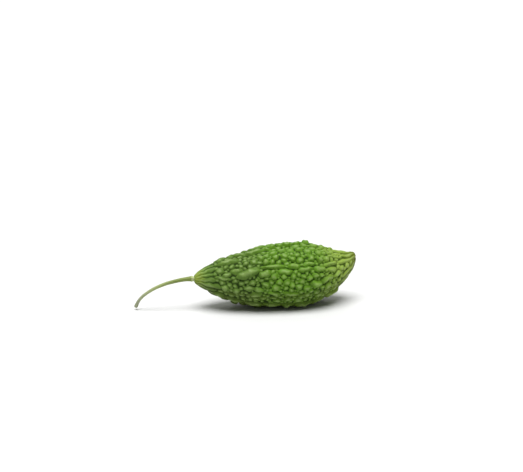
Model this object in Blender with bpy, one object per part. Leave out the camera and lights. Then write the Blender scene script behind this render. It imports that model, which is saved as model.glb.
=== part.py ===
"""A bitter gourd as picked, lying on its belly: the warty fruit, and the stem that it hung from.

The fruit is a spindle, fuller behind its middle, whose blossom tip hooks upwards. Narrow ribs run out of
both ends. Long tubercles follow on between them, and round warts fill what is left. All of them are relief
on one skin, so the fruit is a single solid. The stem is the fruit's only other piece: it sits in a socket
in the blunt end, arches out and hangs down almost to the surface that the fruit lies on.

Lengths are in millimetres, counted along X from the middle of the fruit, until a mesh is made. +X runs
from the stem to the blossom tip and +Z is up. The finished part's origin is under the middle of its box.
"""

import math
import random

import bmesh
import bpy
import numpy as np
from mathutils import Vector

METRES = 0.001
BOX_MIDDLE = -21.34

# The bare skin, under its relief
FRUIT_LENGTH = 124.0
STEM_END = -62.0
TIP_END = STEM_END + FRUIT_LENGTH
WIDEST_AT = 13.0
GIRTH_RADIUS = 22.9
STEM_SIDE_FALL = 0.66
TIP_SIDE_FALL = 0.7
NOSE_RADIUS = 6.0
NOSE_BLEND = 4.0
FLUTES = 10
FIRST_FLUTE = 20.0
FLUTE_DEPTH = 0.45

# The line through the middle of the fruit
AXIS_HEIGHT = 23.5
SAG = 0.9
SAG_AT = -24.0
SAG_LENGTH = 18.0
HOOK_FROM = 22.0
HOOK_RISE = 10.0
HOOK_POWER = 3.8
SIDE_BOW = 2.5

# The tubercles that mark the side towards -Y and the back. Each has its place along X, its angle round the
# fruit, its length and width, and its turn from the way of the ribs. Angles are in degrees, from -Y (0) up
# over +Z (90). A round wart is as long as it is wide
MAIN_TUBERCLES = (
    (-24.0, 26.0, 16.0, 5.4, 10.0),
    (-12.0, 22.0, 7.5, 4.0, 1.0),
    (-5.5, 34.0, 15.5, 3.6, -5.0),
    (9.5, 31.0, 8.0, 3.9, -3.0),
    (2.5, 22.0, 9.5, 3.3, -5.0),
    (17.5, 24.0, 10.0, 3.0, 4.0),
    (21.0, 34.0, 8.5, 2.7, 8.0),
    (28.5, 24.0, 8.0, 3.6, -2.0),
    (38.0, 34.0, 10.5, 3.3, 12.0),
    (39.0, 20.0, 7.0, 2.7, -6.0),
    (25.5, -5.0, 8.0, 4.8, -6.0),
    (35.0, 1.0, 10.5, 3.6, 10.0),
    (43.5, 6.0, 7.0, 3.4, 14.0),
    (-32.0, 34.0, 7.5, 3.9, 3.0),
    (-38.5, 26.0, 5.5, 2.6, 14.0),
    (-41.5, 17.0, 11.0, 2.2, -6.0),
    (-37.0, 66.0, 15.0, 3.8, -4.0),
    (-27.0, 87.0, 8.5, 3.0, -20.0),
    (-17.0, 80.0, 14.0, 4.0, 2.0),
    (-13.5, 97.0, 14.5, 3.2, 0.0),
    (-23.5, -8.0, 7.0, 2.8, 4.0),
    (-17.0, -10.0, 6.0, 3.6, -18.0),
    (-19.0, -21.0, 9.0, 3.2, 3.0),
    (-40.0, -14.0, 5.0, 3.2, -2.0),
    (-5.5, -19.0, 8.5, 3.0, -19.0),
    (7.0, -20.0, 11.0, 3.0, -8.0),
    (-12.0, 0.0, 5.0, 3.0, -30.0),
    (-6.0, 15.0, 3.4, 3.4, 0.0),
    (-2.0, 4.0, 4.2, 4.2, 0.0),
    (3.5, 2.5, 4.4, 4.4, 0.0),
    (7.5, -3.0, 3.4, 3.4, 0.0),
    (1.5, 13.0, 3.2, 3.2, 0.0),
    (16.0, 12.0, 3.2, 3.2, 0.0),
    (20.5, 8.0, 3.8, 3.8, 0.0),
    (25.0, 12.0, 3.6, 3.6, 0.0),
    (29.5, 11.0, 3.2, 3.2, 0.0),
    (30.0, 43.0, 4.2, 4.2, 0.0),
    (-10.5, 46.0, 4.0, 4.0, 0.0),
    (-24.5, 49.0, 3.4, 3.4, 0.0),
    (9.0, 45.0, 3.6, 3.6, 0.0),
    (-3.0, 84.0, 4.0, 4.0, 0.0),
    (2.5, 85.0, 3.4, 3.4, 0.0),
    (8.0, 85.0, 4.4, 4.4, 0.0),
    (15.5, 88.0, 3.8, 3.8, 0.0),
    (23.0, 94.0, 4.4, 4.4, 0.0),
    (38.0, 64.0, 3.0, 3.0, 0.0),
)
MAIN_HEIGHT = 0.62

# The ribs of the stem end, and the long and short ones of the tip: how many, the first one's angle, the
# lengths, and half the width as a share of their spacing
STEM_RIBS = (15, 10.0, (10.0, 21.0), 0.38)
TIP_RIBS = (15, 14.0, (15.0, 25.0), 0.33)
SHORT_TIP_RIBS = (15, 26.0, (6.0, 10.0), 0.14)
RIB_START = 1.5
RIB_TURN = 1.5
RIB_HEIGHT = 1.15

# The rows of long tubercles round the far side
ROWS = 6
FIRST_ROW = 128.0
ROW_PITCH = 36.0
ROW_TURN = 9.0
LONG_LENGTH = (4.5, 13.0)
LONG_WIDTH = (1.6, 2.2)
LONG_HEIGHT = (1.9, 2.5)
LEAST_SPINE = 0.3
ROW_GAP = (0.6, 2.6)
ROW_STEP = 1.0
ROW_MARGIN = 9.0

# The round warts between them, from the large to the small
WART_WIDTHS = (2.0, 1.5, 1.1)
WART_TRIES = (1200, 8000, 20000)
WART_SPREAD = (0.88, 1.12)
WART_HEIGHT = (0.64, 0.98)
WART_GAP = 0.15
WART_MARGIN = 7.0

# How the relief rises
STRETCH = 1.2
BROAD = 1.48
CROWN_SPREAD = 0.55
CROWN_SHOULDER = 0.8
CROWN_END = 0.66
CROWN_STEP = 3.2
CROWN_LUMPS = (0.88, 1.08)
CROWN_CORNERS = 4
FADE_LENGTHS = (26.0, 22.0)
FADE_LEFT = (0.42, 0.4)
SHAPE_SEED = 11

# The socket in the blunt end, and the stem in it
SOCKET_RADIUS = 2.1
SOCKET_FLOOR = STEM_END + 3.2
CUTTER_LENGTH = 12.0
CUTTER_SIDES = 24
FIT_GAP = 0.3
STEM_SIDES = 15
STEM_GROOVES = 5
STEM_GROOVE_DEPTH = 0.09
STEM_RINGS = 30
STEM_ROUTE = (
    (SOCKET_FLOOR - FIT_GAP, 0.0, 0.0),
    (-64.0, 0.0, 0.3),
    (-74.0, 0.6, -0.9),
    (-84.5, 2.2, -4.0),
    (-93.6, 4.6, -9.0),
    (-100.2, 7.0, -15.1),
    (-103.4, 9.0, -21.5),
)
STEM_GIRTHS = (
    (0.0, SOCKET_RADIUS - FIT_GAP),
    (0.05, SOCKET_RADIUS - FIT_GAP),
    (0.09, 2.0),
    (0.14, 1.7),
    (0.4, 1.4),
    (0.93, 1.25),
    (1.0, 1.4),
)

SKIN_SAMPLES = 2000
SLOPE_STEP = 0.02
LEAST_RADIUS = 0.2
ROUTE_STEPS = 24
SHARP_FROM = 78.0


def skin_radius(x):
    """The girth falls off as a power of a sine on either side of its widest place, to a round nose."""
    stem_side = np.clip((x - STEM_END) / (WIDEST_AT - STEM_END), 0.0, 1.0)
    tip_side = np.clip((TIP_END - x) / (TIP_END - WIDEST_AT), 0.0, 1.0)
    behind = np.sin(stem_side * math.pi / 2) ** STEM_SIDE_FALL
    ahead = np.sin(tip_side * math.pi / 2) ** TIP_SIDE_FALL
    girth = GIRTH_RADIUS * np.where(x < WIDEST_AT, behind, ahead)
    from_nose = 1.0 - np.clip((TIP_END - x) / NOSE_RADIUS, 0.0, 1.0)
    nose = NOSE_RADIUS * np.sqrt(1.0 - from_nose**2)
    return np.where(x < WIDEST_AT, girth, (girth**NOSE_BLEND + nose**NOSE_BLEND) ** (1.0 / NOSE_BLEND))


def axis_side(x):
    """The fruit bows a little to one side, most at its two ends."""
    return SIDE_BOW * (2.0 * x / FRUIT_LENGTH) ** 2


def axis_height(x):
    """The line sags where the fruit lies on its belly, and climbs ever faster from the hook to the tip."""
    beyond = np.clip((x - HOOK_FROM) / (TIP_END - HOOK_FROM), 0.0, 1.0)
    sag = SAG * np.exp(-(((x - SAG_AT) / SAG_LENGTH) ** 2))
    return AXIS_HEIGHT - sag + HOOK_RISE * beyond**HOOK_POWER


class Skin:
    """The bare skin. A place on it is s, the way along it from the stem end, and an angle round it."""

    def __init__(self):
        turn = np.linspace(0.0, math.pi, SKIN_SAMPLES)
        self.x = STEM_END + FRUIT_LENGTH * (1.0 - np.cos(turn)) / 2.0
        self.radius = skin_radius(self.x)
        rise = np.diff(self.radius) + 1j * np.hypot(np.diff(self.x), np.diff(axis_height(self.x)))
        steps = np.abs(rise)
        self.s = np.concatenate([[0.0], np.cumsum(steps)])
        self.length = self.s[-1]
        # u grows by one for each way along that equals the radius there, which keeps a map's angles true
        middle = np.maximum((self.radius[1:] + self.radius[:-1]) / 2.0, SLOPE_STEP)
        self.u = np.concatenate([[0.0], np.cumsum(steps / middle)])
        self.u -= np.interp(self.length / 2.0, self.s, self.u)

    def x_of(self, s):
        return np.interp(s, self.s, self.x)

    def s_of(self, x):
        return np.interp(x, self.x, self.s)

    def radius_of(self, s):
        return np.interp(s, self.s, self.radius)

    def points(self, s, angle):
        """Points on the skin, with its faint fluting."""
        x = self.x_of(s)
        radius = self.radius_of(s)
        flute = FLUTE_DEPTH * np.cos(FLUTES * (angle - math.radians(FIRST_FLUTE)))
        radius = radius + flute * np.clip(radius / GIRTH_RADIUS, 0.0, 1.0)
        side = axis_side(x) - radius * np.cos(angle)
        height = axis_height(x) + radius * np.sin(angle)
        return np.stack([x, side, height], axis=-1)

    def frames(self, s, angle):
        """The points on the skin, and the way out of it at each."""
        step = SLOPE_STEP
        here = self.points(s, angle)
        inside = np.clip(s, step, self.length - step)
        along = self.points(inside + step, angle) - self.points(inside - step, angle)
        turn = step / np.maximum(self.radius_of(inside), LEAST_RADIUS)
        across = self.points(inside, angle + turn) - self.points(inside, angle - turn)
        out = np.cross(along, across)
        out /= np.linalg.norm(out, axis=-1, keepdims=True)
        return here, out

    def to_sphere(self, s, angle):
        """The same place on a unit sphere. Near any point the map only scales, so neighbours stay so."""
        u = np.interp(s, self.s, self.u)
        across = 1.0 / np.cosh(u)
        return np.stack([np.tanh(u), across * np.cos(angle), across * np.sin(angle)], axis=-1)

    def from_sphere(self, points):
        u = np.arctanh(np.clip(points[:, 0], -0.999999, 0.999999))
        return np.interp(u, self.u, self.s), np.arctan2(points[:, 2], points[:, 1])


class Tubercles:
    """All the relief, in one table: s, angle, half the spine, half the width, height, turn and girth.

    The spine is the line that a tubercle's crest follows. The girth is the skin's radius at its middle.
    """

    def __init__(self, skin):
        self.skin = skin
        self.table = np.zeros((0, 7))
        draw = random.Random(SHAPE_SEED)
        for x, angle, length, width, turn in MAIN_TUBERCLES:
            half = (length - width) / 2.0
            height = width * MAIN_HEIGHT
            self.keep(skin.s_of(x), math.radians(angle), half, width / 2.0, height, math.radians(turn))
        self.add_ribs(draw, False, *STEM_RIBS)
        self.add_ribs(draw, True, *TIP_RIBS)
        self.add_ribs(draw, True, *SHORT_TIP_RIBS)
        self.add_rows(draw)
        for width, tries in zip(WART_WIDTHS, WART_TRIES):
            self.scatter(draw, width, tries)

    def keep(self, s, angle, half, width, height, turn):
        girth = self.skin.radius_of(s)
        self.table = np.vstack([self.table, (s, angle, half, width, height, turn, girth)])

    def clear(self, s, angle, half, width, turn):
        """Whether a tubercle of this size fits between those that are there."""
        girth = self.skin.radius_of(s)
        there = self.table.T
        for along in (-half, 0.0, half) if half > 0.0 else (0.0,):
            ahead = s + along * math.cos(turn) - there[0]
            aside = angle + along * math.sin(turn) / girth - there[1]
            aside = ((aside + math.pi) % (2.0 * math.pi) - math.pi) * there[6]
            on = ahead * np.cos(there[5]) + aside * np.sin(there[5])
            off = aside * np.cos(there[5]) - ahead * np.sin(there[5])
            apart = np.hypot(np.maximum(np.abs(on) - there[2], 0.0) / STRETCH, off)
            if np.any(apart < there[3] + width + WART_GAP):
                return False
        return True

    def add_ribs(self, draw, at_tip, count, first, lengths, share):
        """Ribs run out of one end, and narrow towards it as the girth does."""
        for rib in range(count):
            angle = math.radians(first + rib * 360.0 / count)
            turn = math.radians(draw.uniform(-RIB_TURN, RIB_TURN))
            from_end = RIB_START + draw.uniform(*lengths) / 2.0
            half = from_end - RIB_START
            s = self.skin.length - from_end if at_tip else from_end
            width = share * 2.0 * math.pi * self.skin.radius_of(s) / count
            if self.clear(s, angle, half, width, turn):
                self.keep(s, angle, half, width, width * RIB_HEIGHT, turn)

    def add_rows(self, draw):
        """Long tubercles stand end to end in rows."""
        for row in range(ROWS):
            angle = math.radians(FIRST_ROW + row * ROW_PITCH)
            s = ROW_MARGIN
            while s < self.skin.length - ROW_MARGIN:
                length = draw.uniform(*LONG_LENGTH)
                width = draw.uniform(*LONG_WIDTH)
                half = max(length / 2.0 - width, LEAST_SPINE)
                turn = math.radians(draw.uniform(-ROW_TURN, ROW_TURN))
                if self.clear(s + length / 2.0, angle, half, width, turn):
                    self.keep(s + length / 2.0, angle, half, width, draw.uniform(*LONG_HEIGHT), turn)
                    s += length + draw.uniform(*ROW_GAP)
                else:
                    s += ROW_STEP

    def scatter(self, draw, width, tries):
        """Warts are thrown at random, and each is kept where it fits."""
        for _ in range(tries):
            s = draw.uniform(WART_MARGIN, self.skin.length - WART_MARGIN)
            angle = draw.uniform(-math.pi, math.pi)
            if draw.random() > self.skin.radius_of(s) / GIRTH_RADIUS:
                continue
            own = width * draw.uniform(*WART_SPREAD)
            if self.clear(s, angle, 0.0, own, 0.0):
                self.keep(s, angle, 0.0, own, own * draw.uniform(*WART_HEIGHT), 0.0)

    def fade(self, s):
        """The relief shrinks towards either end."""
        from_stem = np.clip(s / FADE_LENGTHS[0], 0.0, 1.0)
        from_tip = np.clip((self.skin.length - s) / FADE_LENGTHS[1], 0.0, 1.0)
        stem_side = FADE_LEFT[0] + (1.0 - FADE_LEFT[0]) * from_stem
        return stem_side * (FADE_LEFT[1] + (1.0 - FADE_LEFT[1]) * from_tip)


def hull_faces(points):
    """Triangles that join points on a sphere each to its neighbours, as indices."""
    mesh = bmesh.new()
    for number, point in enumerate(points):
        mesh.verts.new(point).index = number
    bmesh.ops.convex_hull(mesh, input=mesh.verts[:])
    faces = [[vertex.index for vertex in face.verts] for face in mesh.faces]
    mesh.free()
    return faces


def spine(tubercle, step, past=0.0):
    """Places along a tubercle's spine, at most this far apart, and one this far past either end."""
    s, angle, half, _, _, turn, girth = tubercle
    way = list(np.linspace(-half, half, max(2, round(2.0 * half / step) + 1))) if half > 0.0 else [0.0]
    if past > 0.0:
        way = [-half - past, *way, half + past]
    return [(s + along * math.cos(turn), angle + along * math.sin(turn) / girth) for along in way]


def crown_places(tubercles):
    """The high points of every tubercle: an apex or a ridge line, and where it is broad its shoulders."""
    crowns = []
    draw = random.Random(SHAPE_SEED)
    for tubercle in tubercles.table:
        _, _, half, width, height, _, girth = tubercle
        spread = width * CROWN_SPREAD
        shoulder = height * CROWN_SHOULDER
        if half > 0.0:
            first, *stations, last = spine(tubercle, CROWN_STEP, spread)
            for s, angle in stations:
                crowns.append((s, angle, height * draw.uniform(*CROWN_LUMPS)))
                if width > BROAD:
                    crowns += [(s, angle + side / girth, shoulder) for side in (-spread, spread)]
            crowns += [(s, angle, height * CROWN_END) for s, angle in (first, last)]
            continue
        s, angle = tubercle[:2]
        crowns.append((s, angle, height))
        if width < BROAD:
            continue
        start = draw.uniform(0.0, 2.0 * math.pi / CROWN_CORNERS)
        for corner in range(CROWN_CORNERS):
            turn = start + 2.0 * math.pi * corner / CROWN_CORNERS
            along = STRETCH * spread * math.cos(turn)
            crowns.append((s + along, angle + spread * math.sin(turn) / girth, shoulder))
    return np.array(crowns)


def hollow_places(skin, tubercles):
    """The low points: one where three tubercles meet, and some between two broad or two long ones."""
    seeds = []
    owners = []
    for owner, tubercle in enumerate(tubercles.table):
        places = spine(tubercle, CROWN_STEP)
        seeds += places
        owners += [owner] * len(places)
    seeds = np.array(seeds)
    on_sphere = skin.to_sphere(seeds[:, 0], seeds[:, 1])
    long = tubercles.table[:, 2] > 0.0
    widths = tubercles.table[:, 3]
    hollows = []
    pairs = set()
    for face in hull_faces(on_sphere):
        if len({owners[corner] for corner in face}) == 3:
            hollows.append(low_point(on_sphere, owners, widths, face))
        for one, other in zip(face, face[1:] + face[:1]):
            both = [owners[one], owners[other]]
            if both[0] != both[1] and (max(widths[both]) > BROAD or all(long[both])):
                pairs.add((min(one, other), max(one, other)))
    hollows += [low_point(on_sphere, owners, widths, pair) for pair in sorted(pairs)]
    s, angle = skin.from_sphere(np.array(hollows))
    return np.stack([s, angle, np.zeros_like(s)], axis=-1)


def low_point(on_sphere, owners, widths, corners):
    """The place between these corners, nearer to the narrower tubercles."""
    weights = [1.0 / widths[owners[corner]] for corner in corners]
    mean = np.average([on_sphere[corner] for corner in corners], axis=0, weights=weights)
    return mean / np.linalg.norm(mean)


def fruit_mesh():
    """The skin with its relief, as one closed shell whose undersides are flat on the surface."""
    skin = Skin()
    tubercles = Tubercles(skin)
    ends = [(0.0, 0.0, 0.0), (skin.length, 0.0, 0.0)]
    places = np.concatenate([crown_places(tubercles), hollow_places(skin, tubercles), ends])
    s, angle, height = places.T
    s = np.clip(s, 0.0, skin.length)
    faces = hull_faces(skin.to_sphere(s, angle))
    points, out = skin.frames(s, angle)
    points = points + out * (height * tubercles.fade(s))[:, None]
    points[:, 2] = np.maximum(points[:, 2], 0.0)
    mesh = bpy.data.meshes.new("fruit")
    mesh.from_pydata([in_frame(point) for point in points], [], faces)
    return mesh


def in_frame(point):
    """A point in metres, counted along X from the middle of the whole box."""
    return (Vector(point) - Vector((BOX_MIDDLE, 0.0, 0.0))) * METRES


def tidy(mesh):
    """Loose points go, and the faces are turned outwards."""
    work = bmesh.new()
    work.from_mesh(mesh)
    loose = [vertex for vertex in work.verts if not vertex.link_faces]
    bmesh.ops.delete(work, geom=loose, context="VERTS")
    bmesh.ops.recalc_face_normals(work, faces=work.faces[:])
    work.to_mesh(mesh)
    work.free()


def socket_cutter():
    """A round plug along X that reaches out of the blunt end."""
    work = bmesh.new()
    bmesh.ops.create_cone(
        work,
        cap_ends=True,
        segments=CUTTER_SIDES,
        radius1=SOCKET_RADIUS * METRES,
        radius2=SOCKET_RADIUS * METRES,
        depth=CUTTER_LENGTH * METRES,
    )
    mesh = bpy.data.meshes.new("socket_cutter")
    work.to_mesh(mesh)
    work.free()
    cutter = bpy.data.objects.new("socket_cutter", mesh)
    bpy.context.scene.collection.objects.link(cutter)
    cutter.rotation_euler = (0.0, math.pi / 2, 0.0)
    cutter.location = in_frame(stem_point((SOCKET_FLOOR - CUTTER_LENGTH / 2.0, 0.0, 0.0)))
    cutter.hide_render = True
    cutter.display_type = "WIRE"
    return cutter


def stem_point(offset):
    """A point of the stem's route, whose side and height are counted from the fruit's middle line."""
    base = (0.0, axis_side(STEM_END), axis_height(STEM_END))
    return tuple(float(a + b) for a, b in zip(base, offset))


def smooth_route(knots, count):
    """Evenly spread points on a smooth curve through the knots."""
    curve = bpy.data.curves.new("route", "CURVE")
    curve.dimensions = "3D"
    spline = curve.splines.new("BEZIER")
    spline.bezier_points.add(len(knots) - 1)
    for point, knot in zip(spline.bezier_points, knots):
        point.co = knot
        point.handle_left_type = point.handle_right_type = "AUTO"
    spline.resolution_u = ROUTE_STEPS
    route = bpy.data.objects.new("route", curve)
    bpy.context.scene.collection.objects.link(route)
    bpy.context.view_layer.update()
    dense = np.array([vertex.co[:] for vertex in route.to_mesh().vertices])
    route.to_mesh_clear()
    bpy.data.objects.remove(route)
    bpy.data.curves.remove(curve)
    way = np.concatenate([[0.0], np.cumsum(np.linalg.norm(np.diff(dense, axis=0), axis=1))])
    share = np.linspace(0.0, way[-1], count)
    return np.stack([np.interp(share, way, dense[:, k]) for k in range(3)], axis=-1)


def stem_mesh():
    """A grooved tube along the route, wide in its socket, slim below it and a little swollen at the cut."""
    route = smooth_route([stem_point(knot) for knot in STEM_ROUTE], STEM_RINGS)
    share = np.linspace(0.0, 1.0, STEM_RINGS)
    girths = np.array(STEM_GIRTHS)
    radii = np.interp(share, girths[:, 0], girths[:, 1])
    work = bmesh.new()
    rings = []
    for number, centre in enumerate(route):
        ahead = Vector(route[min(number + 1, STEM_RINGS - 1)]) - Vector(route[max(number - 1, 0)])
        ahead.normalize()
        up = Vector((0.0, 1.0, 0.0)).cross(ahead).normalized()
        side = ahead.cross(up)
        ring = []
        for k in range(STEM_SIDES):
            turn = 2.0 * math.pi * k / STEM_SIDES
            radius = radii[number] * (1.0 + STEM_GROOVE_DEPTH * (math.cos(STEM_GROOVES * turn) - 1.0))
            place = Vector(centre) + (up * math.cos(turn) + side * math.sin(turn)) * radius
            place.z = max(place.z, 0.0)
            ring.append(work.verts.new(in_frame(place)))
        rings.append(ring)
    for ring, following in zip(rings, rings[1:]):
        for k in range(STEM_SIDES):
            after = (k + 1) % STEM_SIDES
            work.faces.new((ring[k], ring[after], following[after], following[k]))
    work.faces.new(reversed(rings[0]))
    work.faces.new(rings[-1])
    mesh = bpy.data.meshes.new("stem")
    work.to_mesh(mesh)
    work.free()
    return mesh


def plant_tissue(name, colour, roughness):
    material = bpy.data.materials.new(name)
    material.use_nodes = True
    shader = material.node_tree.nodes["Principled BSDF"]
    shader.inputs["Base Color"].default_value = (*colour, 1.0)
    shader.inputs["Roughness"].default_value = roughness
    shader.inputs["Metallic"].default_value = 0.0
    return material


def place(name, mesh, material):
    tidy(mesh)
    mesh.materials.append(material)
    mesh.shade_smooth()
    mesh.set_sharp_from_angle(angle=math.radians(SHARP_FROM))
    node = bpy.data.objects.new(name, mesh)
    bpy.context.scene.collection.objects.link(node)
    return node


def main():
    for old in list(bpy.data.objects):
        bpy.data.objects.remove(old)
    fruit = place("fruit", fruit_mesh(), plant_tissue("fruit_skin", (0.10, 0.22, 0.035), 0.45))
    cut = fruit.modifiers.new("socket", "BOOLEAN")
    cut.operation = "DIFFERENCE"
    cut.solver = "EXACT"
    cut.object = socket_cutter()
    place("stem", stem_mesh(), plant_tissue("stem_skin", (0.30, 0.38, 0.12), 0.6))


main()
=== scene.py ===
"""Dresses a bitter gourd: its fine warty rind, its ribbed stalk, a pale studio and the camera.

Lengths are in millimetres, counted along X from the middle of the fruit, until a mesh is made. A place on
the rind is s, the way along it from the stem end, and an angle round it, from -Y (0) up over +Z (90).
"""

import math
import random

import bpy
import numpy as np
from bpy.props import FloatProperty, FloatVectorProperty, IntProperty, PointerProperty
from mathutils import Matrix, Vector


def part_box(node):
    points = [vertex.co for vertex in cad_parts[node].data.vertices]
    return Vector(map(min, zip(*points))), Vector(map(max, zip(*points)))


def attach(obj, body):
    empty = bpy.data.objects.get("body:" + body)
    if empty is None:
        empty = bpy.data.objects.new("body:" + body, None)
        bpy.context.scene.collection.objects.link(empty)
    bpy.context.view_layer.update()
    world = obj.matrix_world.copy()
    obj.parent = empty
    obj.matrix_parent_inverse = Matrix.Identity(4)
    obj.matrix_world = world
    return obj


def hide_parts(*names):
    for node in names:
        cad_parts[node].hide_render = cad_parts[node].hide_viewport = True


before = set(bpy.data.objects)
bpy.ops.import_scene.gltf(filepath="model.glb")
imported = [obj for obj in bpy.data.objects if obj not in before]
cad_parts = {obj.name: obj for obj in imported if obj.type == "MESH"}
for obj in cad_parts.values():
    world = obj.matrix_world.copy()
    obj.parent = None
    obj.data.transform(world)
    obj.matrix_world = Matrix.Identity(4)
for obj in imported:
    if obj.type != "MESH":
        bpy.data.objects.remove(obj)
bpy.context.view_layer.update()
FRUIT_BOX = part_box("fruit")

bl_info = {
    "name": "Bitter gourd",
    "version": (1, 0, 0),
    "blender": (4, 5, 0),
    "location": "3D View > Sidebar > Gourd",
    "description": "Builds a bitter gourd with its stalk, lying on a pale studio floor",
    "category": "Add Mesh",
}

MM = 0.001

# The bare skin, under its relief. It repeats the solid's form
FRUIT_LENGTH = 124.0
BOX_MIDDLE = FRUIT_LENGTH / 2.0 - FRUIT_BOX[1].x / MM
WIDEST_AT = 13.0
STEM_SIDE_FALL = 0.66
TIP_SIDE_FALL = 0.7
NOSE_RADIUS = 6.0
NOSE_BLEND = 4.0
FLUTES = 10
FIRST_FLUTE = 20.0
FLUTE_DEPTH = 0.45
AXIS_HEIGHT = 23.5
SAG = 0.9
SAG_AT = -24.0
SAG_LENGTH = 18.0
HOOK_FROM = 22.0
HOOK_POWER = 3.8
SIDE_BOW = 2.5
SKIN_SAMPLES = 2000

# The tubercles that mark the side towards -Y and the back. Each has its place along X, its angle round the
# fruit, its length and width, and its turn from the way of the ribs. Angles are in degrees, from -Y (0) up
# over +Z (90). A round wart is as long as it is wide
MAIN_TUBERCLES = (
    (-24.0, 26.0, 16.0, 5.4, 10.0),
    (-12.0, 22.0, 7.5, 4.0, 1.0),
    (-5.5, 34.0, 15.5, 3.6, -5.0),
    (9.5, 31.0, 8.0, 3.9, -3.0),
    (2.5, 22.0, 9.5, 3.3, -5.0),
    (17.5, 24.0, 10.0, 3.0, 4.0),
    (21.0, 34.0, 8.5, 2.7, 8.0),
    (28.5, 24.0, 8.0, 3.6, -2.0),
    (38.0, 34.0, 10.5, 3.3, 12.0),
    (39.0, 20.0, 7.0, 2.7, -6.0),
    (25.5, -5.0, 8.0, 4.8, -6.0),
    (35.0, 1.0, 10.5, 3.6, 10.0),
    (43.5, 6.0, 7.0, 3.4, 14.0),
    (-32.0, 34.0, 7.5, 3.9, 3.0),
    (-38.5, 26.0, 5.5, 2.6, 14.0),
    (-41.5, 17.0, 11.0, 2.2, -6.0),
    (-37.0, 66.0, 15.0, 3.8, -4.0),
    (-27.0, 87.0, 8.5, 3.0, -20.0),
    (-17.0, 80.0, 14.0, 4.0, 2.0),
    (-13.5, 97.0, 14.5, 3.2, 0.0),
    (-23.5, -8.0, 7.0, 2.8, 4.0),
    (-17.0, -10.0, 6.0, 3.6, -18.0),
    (-19.0, -21.0, 9.0, 3.2, 3.0),
    (-40.0, -14.0, 5.0, 3.2, -2.0),
    (-5.5, -19.0, 8.5, 3.0, -19.0),
    (7.0, -20.0, 11.0, 3.0, -8.0),
    (-12.0, 0.0, 5.0, 3.0, -30.0),
    (-6.0, 15.0, 3.4, 3.4, 0.0),
    (-2.0, 4.0, 4.2, 4.2, 0.0),
    (3.5, 2.5, 4.4, 4.4, 0.0),
    (7.5, -3.0, 3.4, 3.4, 0.0),
    (1.5, 13.0, 3.2, 3.2, 0.0),
    (16.0, 12.0, 3.2, 3.2, 0.0),
    (20.5, 8.0, 3.8, 3.8, 0.0),
    (25.0, 12.0, 3.6, 3.6, 0.0),
    (29.5, 11.0, 3.2, 3.2, 0.0),
    (30.0, 43.0, 4.2, 4.2, 0.0),
    (-10.5, 46.0, 4.0, 4.0, 0.0),
    (-24.5, 49.0, 3.4, 3.4, 0.0),
    (9.0, 45.0, 3.6, 3.6, 0.0),
    (-3.0, 84.0, 4.0, 4.0, 0.0),
    (2.5, 85.0, 3.4, 3.4, 0.0),
    (8.0, 85.0, 4.4, 4.4, 0.0),
    (15.5, 88.0, 3.8, 3.8, 0.0),
    (23.0, 94.0, 4.4, 4.4, 0.0),
    (38.0, 64.0, 3.0, 3.0, 0.0),
)
MAIN_HEIGHT = 0.62

# The ribs of the stem end, and the long and short ones of the tip: how many, the first one's angle, the
# lengths, and half the width as a share of their spacing
STEM_RIBS = (15, 10.0, (10.0, 21.0), 0.38)
TIP_RIBS = (15, 14.0, (15.0, 25.0), 0.33)
SHORT_TIP_RIBS = (15, 26.0, (6.0, 10.0), 0.14)
RIB_START = 1.5
RIB_TURN = 1.5
RIB_HEIGHT = 1.15

# The rows of long tubercles round the far side
ROWS = 6
FIRST_ROW = 128.0
ROW_PITCH = 36.0
ROW_TURN = 9.0
LONG_LENGTH = (4.5, 13.0)
LONG_WIDTH = (1.6, 2.2)
LONG_HEIGHT = (1.9, 2.5)
LEAST_SPINE = 0.3
ROW_GAP = (0.6, 2.6)
ROW_STEP = 1.0
ROW_MARGIN = 9.0

# The round warts between them, from the large to the small. The last two sizes are skin detail alone
WART_WIDTHS = (2.0, 1.5, 1.1, 0.85, 0.62)
WART_TRIES = (1200, 8000, 20000, 26000, 26000)
WART_SPREAD = (0.88, 1.12)
WART_HEIGHT = (0.64, 0.98)
WART_GAP = 0.15
WART_MARGIN = 7.0

STRETCH = 1.2
FADE_LENGTHS = (26.0, 22.0)
FADE_LEFT = (0.42, 0.4)

# The fine mesh of the rind. REACH, MEETING and CREASE say where a wart's foot lies between its neighbours
RIND_SPACING = 0.47
LEAST_ROUND = 10
LOOK_ROUND = 7.0
REACH = 1.36
MEETING = 4.0
CREASE = 0.68
BLUNTNESS = 2.6
# Smooth noise wobbles the warts' outlines, and makes their heights uneven
WOBBLE = 0.42
WOBBLE_SIZE = 2.4
WOBBLE_LEAST_GIRTH = 2.0
AHEAD_SEED = 1
ASIDE_SEED = 2
LUMPS = 0.18
LUMP_SIZE = 2.8
LUMP_SEED = 3
NOISE_WAVES = 14
NOISE_LENGTHS = (1.2, 2.8)
DIMPLE_DEPTH = 0.9
DIMPLE_REACH = 4.0
SLOPE_STEP = 0.02
LEAST_RADIUS = 0.2

# The route of the stalk's middle, from the bottom of its socket, counted from the fruit's stem end
STALK_ROUTE = (
    (2.9, 0.0, 0.0),
    (-2.0, 0.0, 0.3),
    (-12.0, 0.6, -0.9),
    (-22.5, 2.2, -4.0),
    (-31.6, 4.6, -9.0),
    (-38.2, 7.0, -15.1),
    (-41.4, 9.0, -21.5),
)
# The stalk's radius at a share of its length, with a low ring where it leaves the fruit
STALK_GIRTHS = (
    (0.0, 1.8),
    (0.045, 1.9),
    (0.06, 2.35),
    (0.068, 2.3),
    (0.085, 2.05),
    (0.15, 1.7),
    (0.4, 1.42),
    (0.93, 1.27),
    (0.985, 1.42),
    (1.0, 1.3),
)
WIDEST_STALK = 3.0
STALK_STEPS = 300
STALK_SIDES = 60
ROUTE_STEPS = 24

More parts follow.
